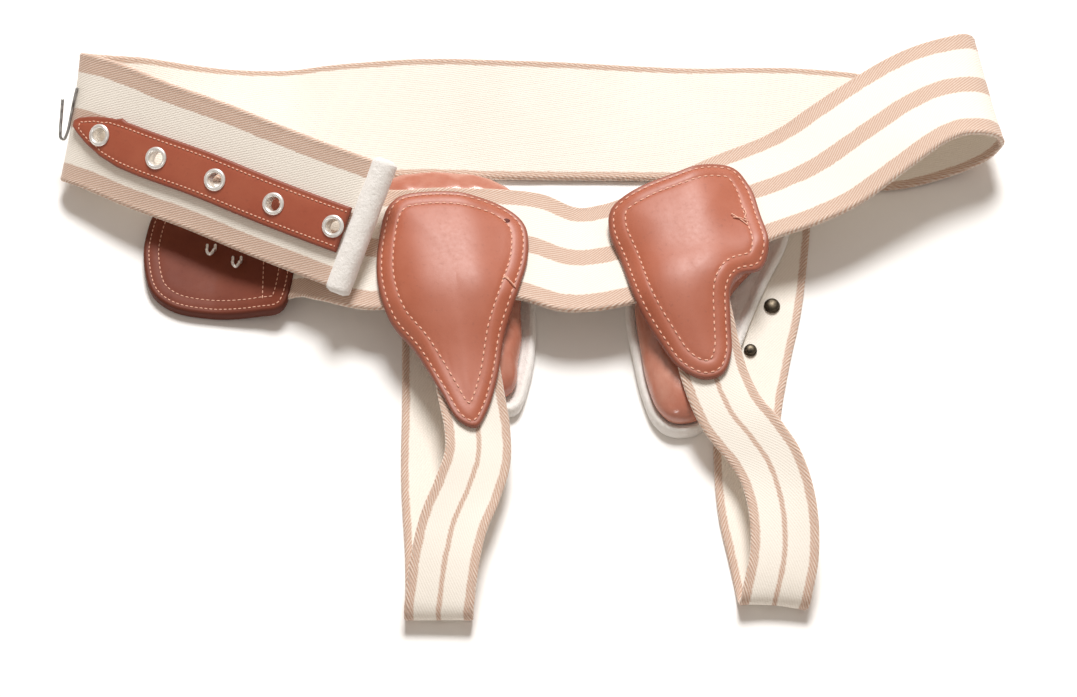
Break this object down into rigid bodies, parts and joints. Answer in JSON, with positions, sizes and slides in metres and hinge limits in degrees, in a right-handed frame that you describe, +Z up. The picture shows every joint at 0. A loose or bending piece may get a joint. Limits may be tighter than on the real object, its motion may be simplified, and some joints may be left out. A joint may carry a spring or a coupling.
{
  "type": "hernia belt",
  "caption": "Striped cotton hernia belt lying on a table, with leather shields over two padded pelotes, two thigh straps, a leather eyelet strip and a hook patch.",
  "frame": {"origin": "middle of the belt's footprint, on the table it lies on", "axes": "+Z up from the table, +X along the lying belt to the viewer's right, -Y toward the viewer and the thigh straps' bottom folds"},
  "size_m": [0.471, 0.3138, 0.0594],
  "materials": {
    "webbing": "cream cotton twill webbing with tan stripes",
    "leather": "smooth mid-brown leather, lightly polished",
    "strip_leather": "orange-brown strap leather, polished",
    "patch_leather": "dark brown leather",
    "felt": "off-white wool felt",
    "nickel": "nickel-plated eyelets and hooks",
    "bronze": "dark tarnished brass studs"
  },
  "bodies": {
    "root": {"waist_band": "webbing", "end_roll": "felt", "eyelet_strip": "strip_leather", "eyelet_1": "nickel", "eyelet_2": "nickel", "eyelet_3": "nickel", "eyelet_4": "nickel", "eyelet_5": "nickel", "hook_patch": "patch_leather", "patch_hook_1": "nickel", "patch_hook_2": "nickel", "side_hook": "nickel", "left_shield": "leather", "right_shield": "leather", "left_pad_felt": "felt", "left_pad_leather": "leather", "right_pad_felt": "felt", "right_pad_leather": "leather", "left_thigh_strap": "webbing", "right_thigh_strap": "webbing", "strap_stud_1": "bronze", "strap_stud_2": "bronze"}
  },
  "joints": []
}
